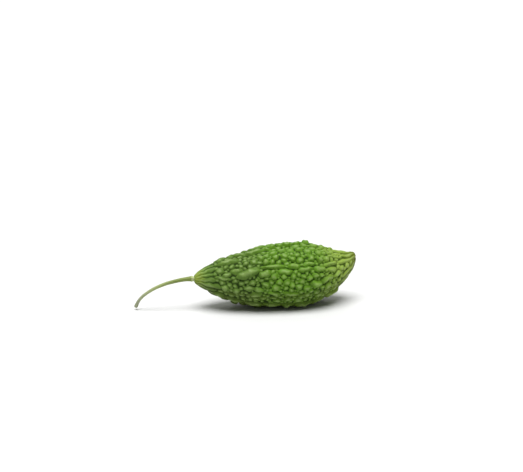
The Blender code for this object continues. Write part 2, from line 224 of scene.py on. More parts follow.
# The skins' grain, by its size and how much of it is finer, and their marks, each by its real size
RIND_GRAIN = (2.2, 0.6)
STALK_GRAIN = (3.0, 0.55)
PATCH_SIZE = 18.0
FLECK_SIZE = 1.6
PORE_SIZE = 0.5
PORE_DEPTH = 0.12
HAIR_SIZE = 0.4
HAIR_DEPTH = 0.08
# How far light goes into the flesh
RIND_GLOW = 1.5
STALK_GLOW = 0.8

# Where each colour stands along the rind, and along the stalk from its socket, as a share of the way
RIND_RUN = (
    (0.02, "neck"),
    (0.1, "shoulder"),
    (0.3, "shoulder"),
    (0.48, "body"),
    (0.64, "body"),
    (0.88, "tip"),
    (0.97, "tip_end"),
)
STALK_RUN = ((0.0, "ring"), (0.064, "ring"), (0.08, "near"), (0.3, "near"), (0.55, "middle"), (0.9, "far"))

# A place's level on a wart is 0 in the hollow and 1 on the crown. Flecks shift it, as patches shift the run
# of colours
PATCH_SHIFT = 0.12
FLECK_SHIFT = 0.3
# Painted shade in the hollows fades out between these levels
HOLLOW_SHADE_LEVELS = (-0.1, 0.5)
# The crowns' pale bloom and painted highlight come in between these levels
CROWN_HIGHLIGHT_LEVELS = (0.7, 1.15)
CROWN_HIGHLIGHT_SHARE = 0.6
ROUGH_HOLLOW = 0.7
ROUGH_CROWN = 0.32
# The tip's hollows get less painted shade, so they are nearly as light as its ribs
UNSHADED_TIP_WAY = (0.84, 0.95)
UNSHADED_TIP_SHARE = 0.4
SCAR_WAY = (0.968, 0.986)
# Painted shade: the skin turns a dark olive from where it faces sideways to where it faces down
SHADED_UNDERSIDE_FACING = (0.0, -0.9)
UNDERSIDE_SHADE_SHARE = 0.6
# Streaks of the stalk: how many to a radian round it and to its length
STREAKS_ROUND = 3.0
STREAKS_ALONG = 9.0
STREAK_LEVELS = (0.35, 0.65)
STREAK_SHARE = 0.35

# The photograph: its frame in pixels, its scale, and where the point under the fruit's middle stands in it
PHOTO_SIZE = (523, 472)
MM_PER_PIXEL = 0.748
MIDDLE_PIXEL = (275.4, 305.2)
SENSOR = 36.0
CLIP_START = 10.0


def linear(code):
    """An sRGB hex colour as linear RGB."""
    shares = [int(code[k : k + 2], 16) / 255.0 for k in (1, 3, 5)]
    return tuple(c / 12.92 if c <= 0.04045 else ((c + 0.055) / 1.055) ** 2.4 for c in shares)


def colour_property(name, description, code):
    return FloatVectorProperty(
        name=name, description=description, default=linear(code), subtype="COLOR", size=3, min=0.0, max=1.0
    )


class GourdFruitSettings(bpy.types.PropertyGroup):
    """The fruit's sizes and colours."""

    girth: FloatProperty(
        name="Girth radius",
        description="Radius of the bare skin at its widest place",
        default=22.9 * MM,
        unit="LENGTH",
    )
    hook_rise: FloatProperty(
        name="Hook rise",
        description="How far the blossom tip climbs above the middle line",
        default=10.0 * MM,
        unit="LENGTH",
    )
    seed: IntProperty(name="Seed", description="Seed of the draw that places the warts", default=11)
    roundness: FloatProperty(
        name="Roundness",
        description="How flat a wart stays before it falls",
        default=2.3,
        min=0.5,
        subtype="FACTOR",
    )
    fullness: FloatProperty(
        name="Fullness",
        description="How steeply a wart falls at its foot",
        default=1.0,
        min=0.1,
        subtype="FACTOR",
    )
    grain: FloatProperty(
        name="Grain", description="Depth of the skin's fine unevenness", default=0.16 * MM, unit="LENGTH"
    )
    neck_colour: colour_property("Neck", "Pale yellow green where the stalk goes in", "#86983c")
    shoulder_colour: colour_property("Shoulder", "Greyish green by the stalk", "#58762b")
    body_colour: colour_property("Body", "Fresh green of the belly and back", "#5b851e")
    tip_colour: colour_property("Tip", "Yellow green towards the blossom tip", "#8ba444")
    tip_end_colour: colour_property("Tip end", "Olive where the ribs meet", "#6f7c29")
    # Painted shade: the dark olive of the side that faces down, where little light reaches
    underside_shade_colour: colour_property("Belly", "Dull olive of the side that it lies on", "#42480e")
    # Painted shade: the tint that darkens the skin in the hollows between the warts
    hollow_shade_tint: colour_property("Hollows", "Tint that deepens the skin between the warts", "#6a7b38")
    # Partly the pale wax bloom, partly a painted highlight on the tops of the warts
    crown_bloom_and_highlight_colour: colour_property("Crowns", "Pale bloom on the tops of the warts", "#9bb46c")
    scar_colour: colour_property("Scar", "Dried blossom end", "#6f5a2e")


class GourdStalkSettings(bpy.types.PropertyGroup):
    """The stalk's sizes and colours."""

    ribs: IntProperty(name="Ribs", description="Ribs that run along the stalk", default=5, min=0)
    rib_depth: FloatProperty(
        name="Rib depth",
        description="Depth of the grooves, as a share of the radius",
        default=0.09,
        subtype="FACTOR",
    )
    grain: FloatProperty(
        name="Grain", description="Depth of the stalk's unevenness", default=0.1 * MM, unit="LENGTH"
    )
    near_colour: colour_property("By the fruit", "Yellow green by the fruit", "#7c8c40")
    middle_colour: colour_property("Middle", "Paler green of the middle", "#a3b071")
    far_colour: colour_property("Cut end", "Greyed green by the cut", "#a4a98c")
    ring_colour: colour_property("Ring", "Pale ring where the stalk joins the fruit", "#b9c48e")
    streak_colour: colour_property("Streaks", "Darker green of the grooves", "#5c6b2c")


class GourdStageSettings(bpy.types.PropertyGroup):
    """The camera, the lights and the floor."""

    azimuth: FloatProperty(
        name="Azimuth",
        description="Turn of the camera round the fruit",
        default=math.radians(-12.0),
        unit="ROTATION",
    )
    elevation: FloatProperty(
        name="Elevation",
        description="How far the camera looks down",
        default=math.radians(15.0),
        unit="ROTATION",
    )
    lens: FloatProperty(name="Lens", description="Focal length in millimetres", default=85.0, min=10.0)
    floor_width: FloatProperty(name="Floor", description="Width of the floor", default=12.0, unit="LENGTH")
    floor_colour: colour_property("Floor colour", "Pale paper under the fruit", "#dfdfdf")
    sky: FloatProperty(name="Sky", description="Strength of the even white sky", default=0.16, min=0.0)
    sun: FloatProperty(
        name="Light", description="Strength of the soft light from above", default=3.85, min=0.0
    )
    sun_height: FloatProperty(
        name="Light height",
        description="How high the soft light stands",
        default=math.radians(78.0),
        unit="ROTATION",
    )
    sun_side: FloatProperty(
        name="Light side",
        description="Turn of the soft light to the right",
        default=math.radians(-18.0),
        unit="ROTATION",
    )
    sun_width: FloatProperty(
        name="Light width",
        description="Angle that each soft light fills",
        default=math.radians(46.0),
        unit="ROTATION",
    )
    back: FloatProperty(
        name="Back light",
        description="Strength of the soft light that rims the warts from behind",
        default=0.6,
        min=0.0,
    )
    back_height: FloatProperty(
        name="Back light height",
        description="How high the light from behind stands",
        default=math.radians(48.0),
        unit="ROTATION",
    )


def add_node(tree, kind, inputs=(), stops=(), **settings):
    """Adds a node, sets its properties and ramp, and fills its sockets with values or other sockets."""
    made = tree.nodes.new(kind)
    for name, value in settings.items():
        setattr(made, name, value)
    for key, value in dict(inputs).items():
        if isinstance(value, bpy.types.NodeSocket):
            tree.links.new(value, made.inputs[key])
        else:
            made.inputs[key].default_value = value
    if stops:
        while len(made.color_ramp.elements) < len(stops):
            made.color_ramp.elements.new(0.5)
        for element, (position, colour) in zip(made.color_ramp.elements, stops):
            element.position = position
            element.color = (*colour, 1.0)
    return made


def in_frame(points):
    """Points in metres, counted along X from the middle of the whole box."""
    return (np.asarray(points) - np.array([BOX_MIDDLE, 0.0, 0.0])) * MM


class Skin:
    """The bare skin. A place on it is s, the way along it from the stem end, and an angle round it."""

    def __init__(self, settings):
        self.girth = settings.girth / MM
        self.hook_rise = settings.hook_rise / MM
        self.stem_end = -FRUIT_LENGTH / 2.0
        self.tip_end = FRUIT_LENGTH / 2.0
        turn = np.linspace(0.0, math.pi, SKIN_SAMPLES)
        self.x = self.stem_end + FRUIT_LENGTH * (1.0 - np.cos(turn)) / 2.0
        self.radius = self.skin_radius(self.x)
        rise = np.diff(self.radius) + 1j * np.hypot(np.diff(self.x), np.diff(self.axis_height(self.x)))
        self.s = np.concatenate([[0.0], np.cumsum(np.abs(rise))])
        self.length = self.s[-1]

    def skin_radius(self, x):
        """The girth falls off as a power of a sine on either side of its widest place, to a round nose."""
        stem_side = np.clip((x - self.stem_end) / (WIDEST_AT - self.stem_end), 0.0, 1.0)
        tip_side = np.clip((self.tip_end - x) / (self.tip_end - WIDEST_AT), 0.0, 1.0)
        behind = np.sin(stem_side * math.pi / 2) ** STEM_SIDE_FALL
        ahead = np.sin(tip_side * math.pi / 2) ** TIP_SIDE_FALL
        girth = self.girth * np.where(x < WIDEST_AT, behind, ahead)
        from_nose = 1.0 - np.clip((self.tip_end - x) / NOSE_RADIUS, 0.0, 1.0)
        nose = NOSE_RADIUS * np.sqrt(1.0 - from_nose**2)
        return np.where(x < WIDEST_AT, girth, (girth**NOSE_BLEND + nose**NOSE_BLEND) ** (1.0 / NOSE_BLEND))

    def axis_side(self, x):
        """The fruit bows a little to one side, most at its two ends."""
        return SIDE_BOW * (2.0 * x / FRUIT_LENGTH) ** 2

    def axis_height(self, x):
        """The middle line sags where the fruit lies on its belly, and climbs ever faster to the tip."""
        beyond = np.clip((x - HOOK_FROM) / (self.tip_end - HOOK_FROM), 0.0, 1.0)
        sag = SAG * np.exp(-(((x - SAG_AT) / SAG_LENGTH) ** 2))
        return AXIS_HEIGHT - sag + self.hook_rise * beyond**HOOK_POWER

    def radius_of(self, s):
        return np.interp(s, self.s, self.radius)

    def s_of(self, x):
        return np.interp(x, self.x, self.s)

    def points(self, s, angle):
        """Points on the skin, with its faint fluting and a dimple where the stalk goes in."""
        x = np.interp(s, self.s, self.x)
        radius = self.radius_of(s)
        flute = FLUTE_DEPTH * np.cos(FLUTES * (angle - math.radians(FIRST_FLUTE)))
        radius = radius + flute * np.clip(radius / self.girth, 0.0, 1.0)
        side = self.axis_side(x) - radius * np.cos(angle)
        height = self.axis_height(x) + radius * np.sin(angle)
        dimple = DIMPLE_DEPTH * np.clip(1.0 - (s / DIMPLE_REACH) ** 2, 0.0, 1.0) ** 2
        return np.stack([x + dimple, side, height], axis=-1)

    def outward(self, s, angle):
        """The way out of the skin at each place."""
        step = SLOPE_STEP
        inside = np.clip(s, step, self.length - step)
        along = self.points(inside + step, angle) - self.points(inside - step, angle)
        turn = step / np.maximum(self.radius_of(inside), LEAST_RADIUS)
        across = self.points(inside, angle + turn) - self.points(inside, angle - turn)
        out = np.cross(along, across)
        return out / np.linalg.norm(out, axis=-1, keepdims=True)


class Tubercles:
    """All the relief, in one table: s, angle, half the spine, half the width, height, turn and girth.

    The spine is the line that a tubercle's crest follows. The girth is the skin's radius at its middle.
    """

    def __init__(self, skin, seed):
        self.skin = skin
        self.table = np.zeros((0, 7))
        draw = random.Random(seed)
        for x, angle, length, width, turn in MAIN_TUBERCLES:
            half = (length - width) / 2.0
            height = width * MAIN_HEIGHT
            self.keep(skin.s_of(x), math.radians(angle), half, width / 2.0, height, math.radians(turn))
        self.add_ribs(draw, False, *STEM_RIBS)
        self.add_ribs(draw, True, *TIP_RIBS)
        self.add_ribs(draw, True, *SHORT_TIP_RIBS)
        self.add_rows(draw)
        for width, tries in zip(WART_WIDTHS, WART_TRIES):
            self.scatter(draw, width, tries)

    def keep(self, s, angle, half, width, height, turn):
        girth = self.skin.radius_of(s)
        self.table = np.vstack([self.table, (s, angle, half, width, height, turn, girth)])

    def clear(self, s, angle, half, width, turn):
        """Whether a tubercle of this size fits between those that are there."""
        girth = self.skin.radius_of(s)
        there = self.table.T
        for along in (-half, 0.0, half) if half > 0.0 else (0.0,):
            ahead = s + along * math.cos(turn) - there[0]
            aside = angle + along * math.sin(turn) / girth - there[1]
            aside = ((aside + math.pi) % (2.0 * math.pi) - math.pi) * there[6]
            on = ahead * np.cos(there[5]) + aside * np.sin(there[5])
            off = aside * np.cos(there[5]) - ahead * np.sin(there[5])
            apart = np.hypot(np.maximum(np.abs(on) - there[2], 0.0) / STRETCH, off)
            if np.any(apart < there[3] + width + WART_GAP):
                return False
        return True

    def add_ribs(self, draw, at_tip, count, first, lengths, share):
        """Ribs run out of one end, and narrow towards it as the girth does."""
        for rib in range(count):
            angle = math.radians(first + rib * 360.0 / count)
            turn = math.radians(draw.uniform(-RIB_TURN, RIB_TURN))
            from_end = RIB_START + draw.uniform(*lengths) / 2.0
            half = from_end - RIB_START
            s = self.skin.length - from_end if at_tip else from_end
            width = share * 2.0 * math.pi * self.skin.radius_of(s) / count
            if self.clear(s, angle, half, width, turn):
                self.keep(s, angle, half, width, width * RIB_HEIGHT, turn)

    def add_rows(self, draw):
        """Long tubercles stand end to end in rows."""
        for row in range(ROWS):
            angle = math.radians(FIRST_ROW + row * ROW_PITCH)
            s = ROW_MARGIN
            while s < self.skin.length - ROW_MARGIN:
                length = draw.uniform(*LONG_LENGTH)
                width = draw.uniform(*LONG_WIDTH)
                half = max(length / 2.0 - width, LEAST_SPINE)
                turn = math.radians(draw.uniform(-ROW_TURN, ROW_TURN))
                if self.clear(s + length / 2.0, angle, half, width, turn):
                    self.keep(s + length / 2.0, angle, half, width, draw.uniform(*LONG_HEIGHT), turn)
                    s += length + draw.uniform(*ROW_GAP)
                else:
                    s += ROW_STEP

    def scatter(self, draw, width, tries):
        """Warts are thrown at random, and each is kept where it fits."""
        for _ in range(tries):
            s = draw.uniform(WART_MARGIN, self.skin.length - WART_MARGIN)
            angle = draw.uniform(-math.pi, math.pi)
            if draw.random() > self.skin.radius_of(s) / self.skin.girth:
                continue
            own = width * draw.uniform(*WART_SPREAD)
            if self.clear(s, angle, 0.0, own, 0.0):
                self.keep(s, angle, 0.0, own, own * draw.uniform(*WART_HEIGHT), 0.0)

    def fade(self, s):
        """The relief shrinks towards either end."""
        from_stem = np.clip(s / FADE_LENGTHS[0], 0.0, 1.0)
        from_tip = np.clip((self.skin.length - s) / FADE_LENGTHS[1], 0.0, 1.0)
        stem_side = FADE_LEFT[0] + (1.0 - FADE_LEFT[0]) * from_stem
        return stem_side * (FADE_LEFT[1] + (1.0 - FADE_LEFT[1]) * from_tip)

    def nearness(self, s, angle, ring_s):
        """How near each place is to a tubercle's foot, 0 on the crest and 1 at the foot, and its height.

        Near the line between two tubercles the height is a blend of theirs, so that no step is left there.
        """
        near = self.table[np.abs(self.table[:, 0] - ring_s) - self.table[:, 2] < LOOK_ROUND].T
        ahead = s[:, None] - near[0]
        aside = ((angle[:, None] - near[1] + math.pi) % (2.0 * math.pi) - math.pi) * near[6]
        on = (ahead * np.cos(near[5]) + aside * np.sin(near[5])) / (near[2] + STRETCH * near[3])
        off = (aside * np.cos(near[5]) - ahead * np.sin(near[5])) / near[3]
        share = np.sqrt(np.abs(on) ** BLUNTNESS + off**2)
        nearest = np.argpartition(share, 1, axis=1)[:, :2]
        first, second = np.take_along_axis(share, nearest, axis=1).T
        own, other = near[4][nearest].T
        meeting = first / second
        edge = ((CREASE * meeting) ** MEETING + (first / REACH) ** MEETING) ** (1.0 / MEETING)
        return np.minimum(edge, 1.0), own + (other - own) * 0.5 * meeting**MEETING


def wave_noise(points, size, seed):
    """Smooth noise about zero, as a sum of sine waves in many directions, at about this size."""
    draw = random.Random(seed)
    total = np.zeros(len(points))
    for _ in range(NOISE_WAVES):
        way = Vector((draw.gauss(0, 1), draw.gauss(0, 1), draw.gauss(0, 1))).normalized()
        pace = 2.0 * math.pi / (size * draw.uniform(*NOISE_LENGTHS))
        total += np.sin(points @ np.array(way) * pace + draw.uniform(0.0, 2.0 * math.pi))
    return total / math.sqrt(NOISE_WAVES)


def stitch(rings):
    """Triangles between each two rings of numbered points that lie evenly round a full turn."""
    faces = []
    for lower, upper in zip(rings, rings[1:]):
        a = b = 0
        while a < len(lower) or b < len(upper):
            if a * len(upper) <= b * len(lower) and a < len(lower):
                corners = (lower[a % len(lower)], upper[b % len(upper)], lower[(a + 1) % len(lower)])
                a += 1
            else:
                corners = (lower[a % len(lower)], upper[b % len(upper)], upper[(b + 1) % len(upper)])
                b += 1
            if len(set(corners)) == 3:
                faces.append(corners)
    return faces


def rind_grid(skin, tubercles):
    """An even mesh of the bare skin. Its points carry the way out, their wart's height and its nearness."""
    steps = round(skin.length / RIND_SPACING)
    rings = []
    s_all = []
    angle_all = []
    edge_all = []
    height_all = []
    for step in range(steps + 1):
        ring_s = skin.length * step / steps
        girth = skin.radius_of(ring_s)
        count = 1 if step in (0, steps) else max(LEAST_ROUND, round(2.0 * math.pi * girth / RIND_SPACING))
        angle = 2.0 * math.pi * np.arange(count) / count
        s = np.full(count, ring_s)
        bare = skin.points(s, angle)
        moved_s = s + WOBBLE * wave_noise(bare, WOBBLE_SIZE, AHEAD_SEED)
        aside = WOBBLE * wave_noise(bare, WOBBLE_SIZE, ASIDE_SEED)
        moved_angle = angle + aside / max(girth, WOBBLE_LEAST_GIRTH)
        edge, height = tubercles.nearness(moved_s, moved_angle, ring_s)
        rings.append(range(len(s_all), len(s_all) + count))
        s_all.extend(s)
        angle_all.extend(angle)
        edge_all.extend(edge)
        height_all.extend(height)
    s = np.array(s_all)
    angle = np.array(angle_all)
    bare = skin.points(s, angle)
    lumps = 1.0 + LUMPS * wave_noise(bare, LUMP_SIZE, LUMP_SEED)
    height = np.array(height_all) * tubercles.fade(s) * lumps
    mesh = bpy.data.meshes.new("rind")
    mesh.from_pydata(in_frame(bare).tolist(), [], stitch(rings))
    values = (
        ("edge", "FLOAT", "value", edge_all),
        ("height", "FLOAT", "value", height * MM),
        ("way", "FLOAT", "value", s / skin.length),
        ("outward", "FLOAT_VECTOR", "vector", skin.outward(s, angle)),
    )
    for name, kind, field, value in values:
        layer = mesh.attributes.new(name, kind, "POINT")
        layer.data.foreach_set(field, np.asarray(value, dtype=np.float32).ravel())
    return mesh


def new_tree(name, sockets):
    """A geometry node tree with these named inputs, and one geometry in and out."""
    tree = bpy.data.node_groups.new(name, "GeometryNodeTree")
    tree.interface.new_socket("Geometry", in_out="INPUT", socket_type="NodeSocketGeometry")
    tree.interface.new_socket("Geometry", in_out="OUTPUT", socket_type="NodeSocketGeometry")
    for label, kind in sockets:
        tree.interface.new_socket(label, in_out="INPUT", socket_type=kind)
    return tree


def relief_tree():
    """Raises each wart from the skin, roughens the skin finely and lays it on the surface."""
    tree = new_tree("Warty relief", (
        ("Roundness", "NodeSocketFloat"),
        ("Fullness", "NodeSocketFloat"),
        ("Grain", "NodeSocketFloat"),
        ("Material", "NodeSocketMaterial"),
    ))
    given = add_node(tree, "NodeGroupInput").outputs
    edge = add_node(tree, "GeometryNodeInputNamedAttribute", {"Name": "edge"}, data_type="FLOAT")
    height = add_node(tree, "GeometryNodeInputNamedAttribute", {"Name": "height"}, data_type="FLOAT")
    way_out = add_node(
        tree, "GeometryNodeInputNamedAttribute", {"Name": "outward"}, data_type="FLOAT_VECTOR"
    ).outputs[0]
    fallen = add_node(
        tree, "ShaderNodeMath", {0: edge.outputs[0], 1: given["Roundness"]}, operation="POWER"
    ).outputs[0]
    left = add_node(
        tree, "ShaderNodeMath", {0: 1.0, 1: fallen}, operation="SUBTRACT", use_clamp=True
    ).outputs[0]
    dome = add_node(tree, "ShaderNodeMath", {0: left, 1: given["Fullness"]}, operation="POWER").outputs[0]
    lift = add_node(
        tree, "ShaderNodeMath", {0: dome, 1: height.outputs[0]}, operation="MULTIPLY"
    ).outputs[0]
    offset = add_node(
        tree, "ShaderNodeVectorMath", {0: way_out, "Scale": lift}, operation="SCALE"
    ).outputs[0]
    kept = add_node(
        tree,
        "GeometryNodeStoreNamedAttribute",
        {"Geometry": given["Geometry"], "Name": "dome", "Value": dome},
        data_type="FLOAT",
        domain="POINT",
    ).outputs[0]
    raised = add_node(tree, "GeometryNodeSetPosition", {"Geometry": kept, "Offset": offset}).outputs[0]
    grained = roughen(tree, raised, RIND_GRAIN, given["Grain"])

    place = add_node(tree, "GeometryNodeInputPosition").outputs[0]
    parts = add_node(tree, "ShaderNodeSeparateXYZ", {0: place}).outputs
    laid = add_node(tree, "ShaderNodeMath", {0: parts[2], 1: 0.0}, operation="MAXIMUM").outputs[0]
    rest = add_node(tree, "ShaderNodeCombineXYZ", {0: parts[0], 1: parts[1], 2: laid}).outputs[0]
    resting = add_node(tree, "GeometryNodeSetPosition", {"Geometry": grained, "Position": rest}).outputs[0]
    finish_tree(tree, resting, given)
    return tree


def roughen(tree, geometry, grain, depth):
    """The grain of a skin: bumps that rise and fall by up to half this depth."""
    size, finer = grain
    fine = add_node(
        tree, "ShaderNodeTexNoise", {"Scale": 1.0 / (size * MM), "Detail": 3.0, "Roughness": finer}
    ).outputs[0]
    about = add_node(tree, "ShaderNodeMath", {0: fine, 1: 0.5}, operation="SUBTRACT").outputs[0]
    lift = add_node(tree, "ShaderNodeMath", {0: about, 1: depth}, operation="MULTIPLY").outputs[0]
    normal = add_node(tree, "GeometryNodeInputNormal").outputs[0]
    offset = add_node(
        tree, "ShaderNodeVectorMath", {0: normal, "Scale": lift}, operation="SCALE"
    ).outputs[0]
    return add_node(tree, "GeometryNodeSetPosition", {"Geometry": geometry, "Offset": offset}).outputs[0]


def finish_tree(tree, geometry, given):
    """Every tree ends with a smooth, realised mesh in its material."""
    smooth = add_node(tree, "GeometryNodeSetShadeSmooth", {"Geometry": geometry}).outputs[0]
    real = add_node(tree, "GeometryNodeRealizeInstances", {"Geometry": smooth}).outputs[0]
    coated = add_node(
        tree, "GeometryNodeSetMaterial", {"Geometry": real, "Material": given["Material"]}
    ).outputs[0]
    add_node(tree, "NodeGroupOutput", {"Geometry": coated})


def stalk_girth(tree, share):
    """The stalk's radius at this share of its length."""
    girth = add_node(tree, "ShaderNodeFloatCurve", {"Value": share})
    points = girth.mapping.curves[0].points
    while len(points) < len(STALK_GIRTHS):
        points.new(0.5, 0.5)
    for point, (at, radius) in zip(points, STALK_GIRTHS):
        point.location = (at, radius / WIDEST_STALK)
    girth.mapping.update()
    return add_node(
        tree, "ShaderNodeMath", {0: girth.outputs[0], 1: WIDEST_STALK * MM}, operation="MULTIPLY"
    ).outputs[0]


def ribbed_round(tree, given):
    """A circle of radius 1, pressed in between its ribs. Its points keep their turn round the stalk."""
    circle = add_node(
        tree, "GeometryNodeCurvePrimitiveCircle", {"Resolution": STALK_SIDES, "Radius": 1.0}
    ).outputs[0]
    spot = add_node(tree, "GeometryNodeInputPosition").outputs[0]
    parts = add_node(tree, "ShaderNodeSeparateXYZ", {0: spot}).outputs
    turn = add_node(tree, "ShaderNodeMath", {0: parts[1], 1: parts[0]}, operation="ARCTAN2").outputs[0]
    waves = add_node(tree, "ShaderNodeMath", {0: turn, 1: given["Ribs"]}, operation="MULTIPLY").outputs[0]
    wave = add_node(tree, "ShaderNodeMath", {0: waves}, operation="COSINE").outputs[0]
    below = add_node(tree, "ShaderNodeMath", {0: wave, 1: 1.0}, operation="SUBTRACT").outputs[0]
    groove = add_node(
        tree, "ShaderNodeMath", {0: below, 1: given["Rib depth"], 2: 1.0}, operation="MULTIPLY_ADD"
    ).outputs[0]
    pressed = add_node(
        tree, "ShaderNodeVectorMath", {0: spot, "Scale": groove}, operation="SCALE"
    ).outputs[0]
    turned = add_node(
        tree,
        "GeometryNodeStoreNamedAttribute",
        {"Geometry": circle, "Name": "round", "Value": turn},
        data_type="FLOAT",
        domain="POINT",
    ).outputs[0]
    return add_node(tree, "GeometryNodeSetPosition", {"Geometry": turned, "Position": pressed}).outputs[0]


def stalk_tree():
    """Sweeps a ribbed round along a smooth curve through the given points, and roughens it finely."""
    tree = new_tree("Ribbed stalk", (
        ("Ribs", "NodeSocketFloat"),
        ("Rib depth", "NodeSocketFloat"),
        ("Grain", "NodeSocketFloat"),
        ("Material", "NodeSocketMaterial"),
    ))
    given = add_node(tree, "NodeGroupInput").outputs
    line = add_node(tree, "GeometryNodeMeshToCurve", {"Mesh": given["Geometry"]}).outputs[0]
    bent = add_node(tree, "GeometryNodeCurveSplineType", {"Curve": line}, spline_type="BEZIER").outputs[0]
    eased = add_node(tree, "GeometryNodeCurveSetHandles", {"Curve": bent}, handle_type="AUTO").outputs[0]
    even = add_node(
        tree, "GeometryNodeSetSplineResolution", {"Geometry": eased, "Resolution": ROUTE_STEPS}
    ).outputs[0]
    path = add_node(tree, "GeometryNodeResampleCurve", {"Curve": even, "Count": STALK_STEPS}).outputs[0]
    share = add_node(tree, "GeometryNodeSplineParameter").outputs["Factor"]
    marked = add_node(
        tree,
        "GeometryNodeStoreNamedAttribute",
        {"Geometry": path, "Name": "along", "Value": share},
        data_type="FLOAT",
        domain="POINT",
    ).outputs[0]
    swept = add_node(tree, "GeometryNodeCurveToMesh", {
        "Curve": marked,
        "Profile Curve": ribbed_round(tree, given),
        "Scale": stalk_girth(tree, share),
        "Fill Caps": True,
    }).outputs[0]
    finish_tree(tree, roughen(tree, swept, STALK_GRAIN, given["Grain"]), given)
    return tree


def grow(name, mesh, tree, values):
    """A plain mesh object: what the tree makes of this mesh with these inputs."""
    piece = bpy.data.objects.new(name, mesh)
    bpy.context.scene.collection.objects.link(piece)
    modifier = piece.modifiers.new("grow", "NODES")
    modifier.node_group = tree
    for item in tree.interface.items_tree:
        if item.in_out == "INPUT" and item.name in values:
            modifier[item.identifier] = values[item.name]
    done = bpy.data.meshes.new_from_object(piece.evaluated_get(bpy.context.evaluated_depsgraph_get()))
    piece.modifiers.clear()
    piece.data = done
    done.name = name
    bpy.data.meshes.remove(mesh)
    return piece


def colour_run(settings, run):
    """The stops of a ramp through these colours of the settings."""
    return [(at, getattr(settings, f"{name}_colour")) for at, name in run]


def rind_colour(tree, settings, way, level):
    """The skin's colour from end to end, with painted shade in the hollows, a pale bloom and painted
    highlight on the crowns, and olive painted shade beneath.
    """
    place = add_node(tree, "ShaderNodeTexCoord").outputs["Object"]
    patches = add_node(
        tree, "ShaderNodeTexNoise", {"Vector": place, "Scale": 1.0 / (PATCH_SIZE * MM), "Detail": 3.0}
    ).outputs[0]
    shift = add_node(
        tree, "ShaderNodeMath", {0: patches, 1: PATCH_SHIFT, 2: -PATCH_SHIFT / 2.0}, operation="MULTIPLY_ADD"
    ).outputs[0]
    run = add_node(tree, "ShaderNodeMath", {0: way, 1: shift}, operation="ADD").outputs[0]
    body = add_node(tree, "ShaderNodeValToRGB", {"Fac": run}, colour_run(settings, RIND_RUN))
    body.color_ramp.interpolation = "EASE"

    # Painted shade: the side that it lies on turns a dark, dull olive
    outward = add_node(tree, "ShaderNodeAttribute", attribute_name="outward").outputs["Vector"]
    facing = add_node(tree, "ShaderNodeSeparateXYZ", {0: outward}).outputs[2]
    belly = add_node(
        tree,
        "ShaderNodeMapRange",
        {"Value": facing, "From Min": SHADED_UNDERSIDE_FACING[0], "From Max": SHADED_UNDERSIDE_FACING[1], "To Max": UNDERSIDE_SHADE_SHARE},
        interpolation_type="SMOOTHSTEP",
    ).outputs[0]
    body_with_underside_shade = add_node(
        tree,
        "ShaderNodeMix",
        {0: belly, 6: body.outputs["Color"], 7: (*settings.underside_shade_colour, 1.0)},
        data_type="RGBA",
    ).outputs[2]

    # Painted shade makes the hollows a deeper green, except among the tip's ribs
    out_of_hollow = add_node(
        tree,
        "ShaderNodeMapRange",
        {"Value": level, "From Min": HOLLOW_SHADE_LEVELS[0], "From Max": HOLLOW_SHADE_LEVELS[1]},
        interpolation_type="SMOOTHSTEP",
    ).outputs[0]
    plain = add_node(
        tree,
        "ShaderNodeMapRange",
        {"Value": way, "From Min": UNSHADED_TIP_WAY[0], "From Max": UNSHADED_TIP_WAY[1], "To Max": UNSHADED_TIP_SHARE},
        interpolation_type="SMOOTHSTEP",
    ).outputs[0]
    light = add_node(tree, "ShaderNodeMath", {0: out_of_hollow, 1: plain}, operation="MAXIMUM").outputs[0]
    deep = add_node(
        tree,
        "ShaderNodeMix",
        {0: 1.0, 6: body_with_underside_shade, 7: (*settings.hollow_shade_tint, 1.0)},
        data_type="RGBA",
        blend_type="MULTIPLY",
    ).outputs[2]
    with_hollow_shade = add_node(tree, "ShaderNodeMix", {0: light, 6: deep, 7: body_with_underside_shade}, data_type="RGBA").outputs[2]

    # Only the crowns carry the pale bloom, with a painted highlight
    crown = add_node(
        tree,
        "ShaderNodeMapRange",
        {"Value": level, "From Min": CROWN_HIGHLIGHT_LEVELS[0], "From Max": CROWN_HIGHLIGHT_LEVELS[1], "To Max": CROWN_HIGHLIGHT_SHARE},
        interpolation_type="SMOOTHSTEP",
    ).outputs[0]
    with_crown_bloom_and_highlight = add_node(
        tree, "ShaderNodeMix", {0: crown, 6: with_hollow_shade, 7: (*settings.crown_bloom_and_highlight_colour, 1.0)}, data_type="RGBA"
    ).outputs[2]

    # The dried blossom end is a brown point
    scar = add_node(
        tree,
        "ShaderNodeMapRange",
        {"Value": way, "From Min": SCAR_WAY[0], "From Max": SCAR_WAY[1]},
        interpolation_type="SMOOTHSTEP",
    ).outputs[0]
    return add_node(
        tree, "ShaderNodeMix", {0: scar, 6: with_crown_bloom_and_highlight, 7: (*settings.scar_colour, 1.0)}, data_type="RGBA"
    ).outputs[2]


